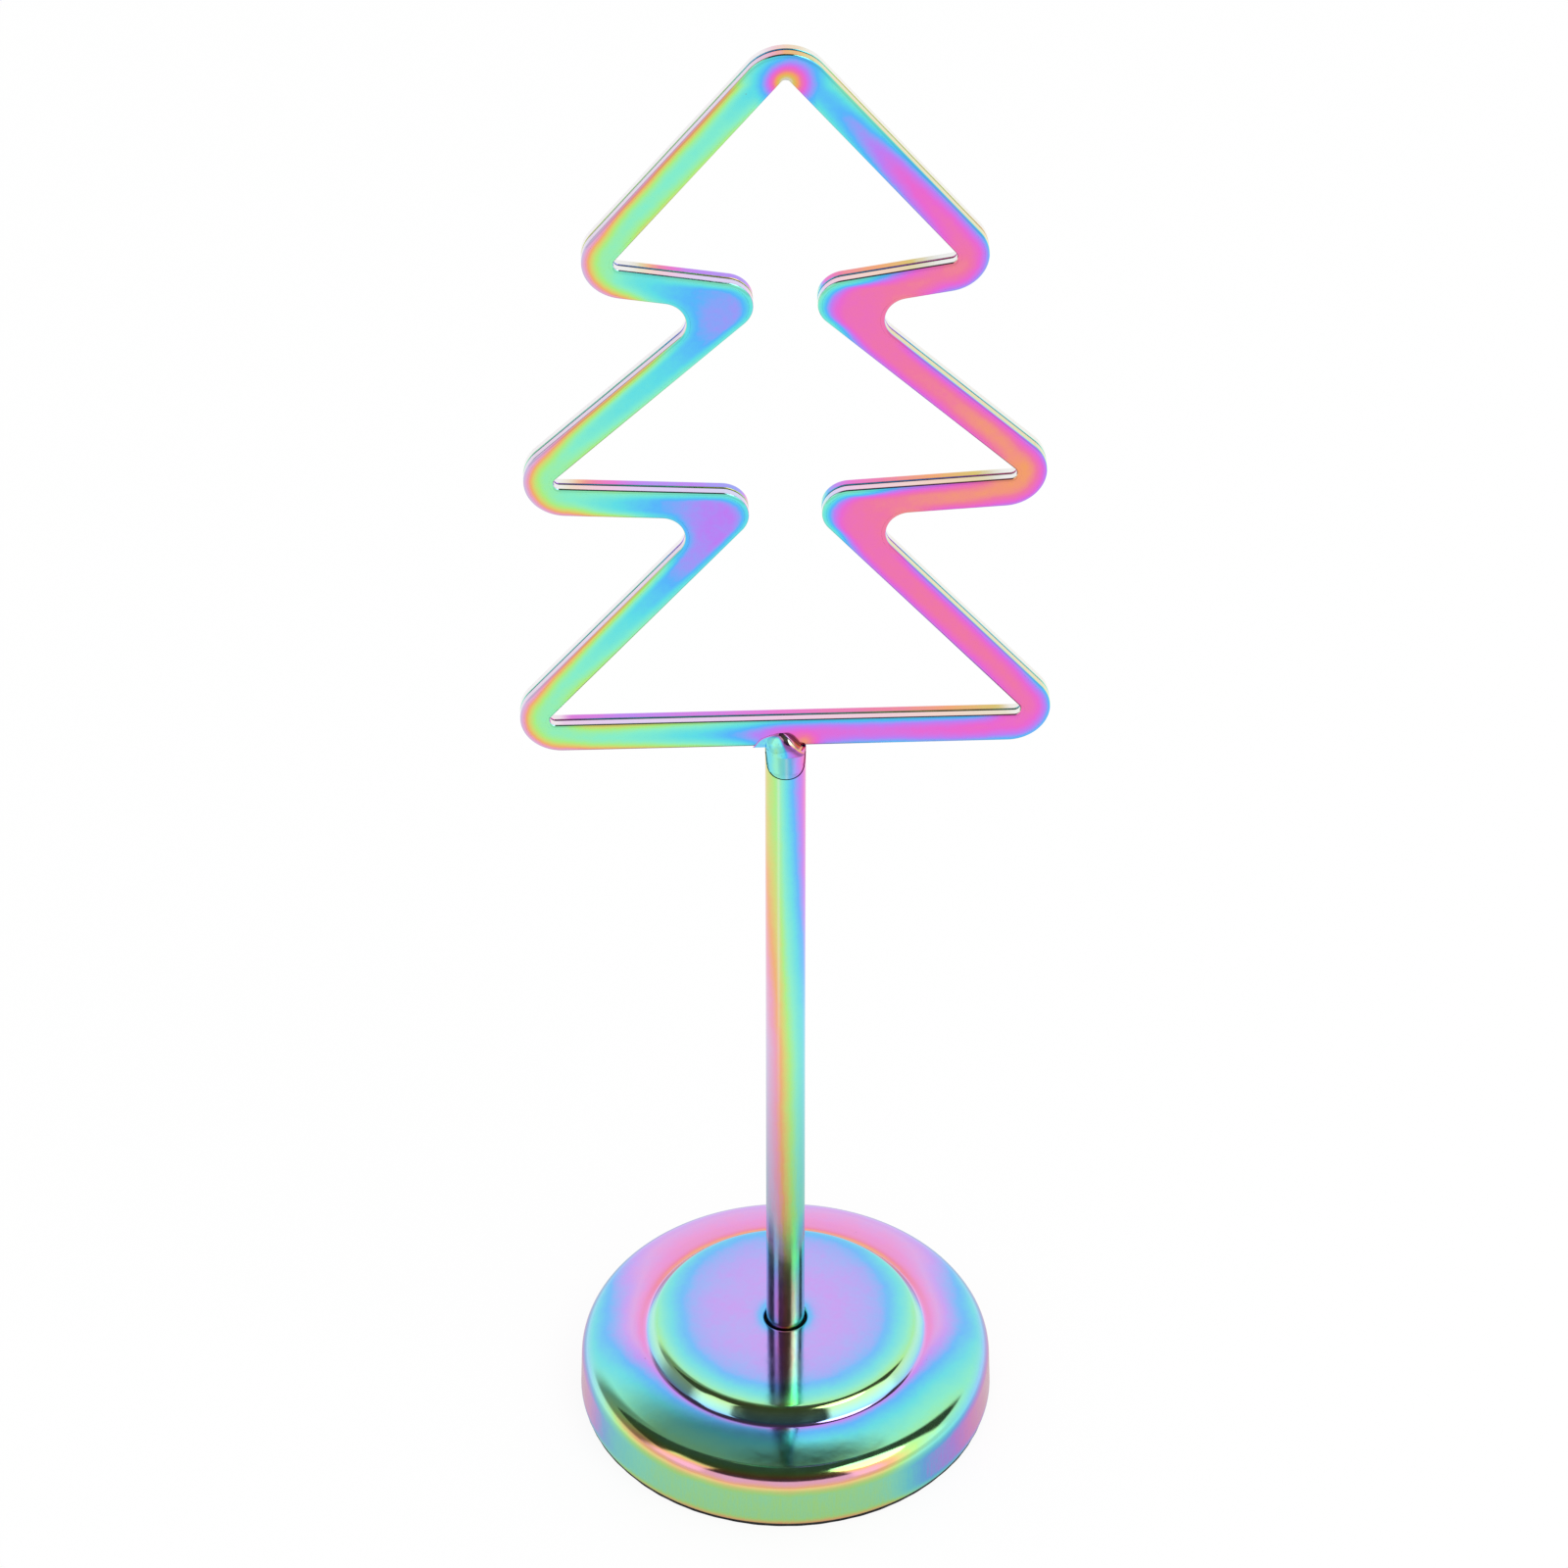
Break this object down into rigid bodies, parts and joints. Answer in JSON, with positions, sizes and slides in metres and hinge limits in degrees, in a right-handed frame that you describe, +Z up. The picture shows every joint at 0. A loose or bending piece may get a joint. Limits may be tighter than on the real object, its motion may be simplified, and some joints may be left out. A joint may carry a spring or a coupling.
{
  "type": "photo tree stand",
  "caption": "Free-standing card and photo holder: twin tree-outline plates in rainbow-plated steel on a slim stem and a low round weighted base.",
  "frame": {"origin": "centre of the base pad's underside, on the surface that the stand rests on", "axes": "+Z up along the stem, +X to the viewer's right, -Y is the front, the side with the hollow weld"},
  "size_m": [0.0644, 0.054, 0.2077],
  "materials": {
    "rainbow_steel": "mirror-polished steel with a rainbow interference coating",
    "ballast_iron": "as cast, dark",
    "black_pad": "matt black foam sheet",
    "zinc_steel": "bright zinc"
  },
  "bodies": {
    "base": {"base_cover": "rainbow_steel", "base_weight": "ballast_iron", "base_pad": "black_pad", "flat_washer": "zinc_steel"},
    "stem": {"stem": "rainbow_steel", "back_tree_plate": "rainbow_steel", "front_weld": "rainbow_steel", "rear_weld": "rainbow_steel", "stem_screw": "zinc_steel", "spring_washer": "zinc_steel"},
    "front_plate": {"front_tree_plate": "rainbow_steel"}
  },
  "joints": [
    {"name": "stem_swivel", "type": "hinge", "parent": "base", "child": "stem", "pos_m": [0, 0, 0.0115], "axis": [0, 0, 1], "continuous": true},
    {"name": "clip_open", "type": "hinge", "parent": "stem", "child": "front_plate", "pos_m": [0, 0.00055, 0.1101], "axis": [1, 0, 0], "range_deg": [0, 2], "stiffness_Nm_per_rad": 5.7}
  ]
}
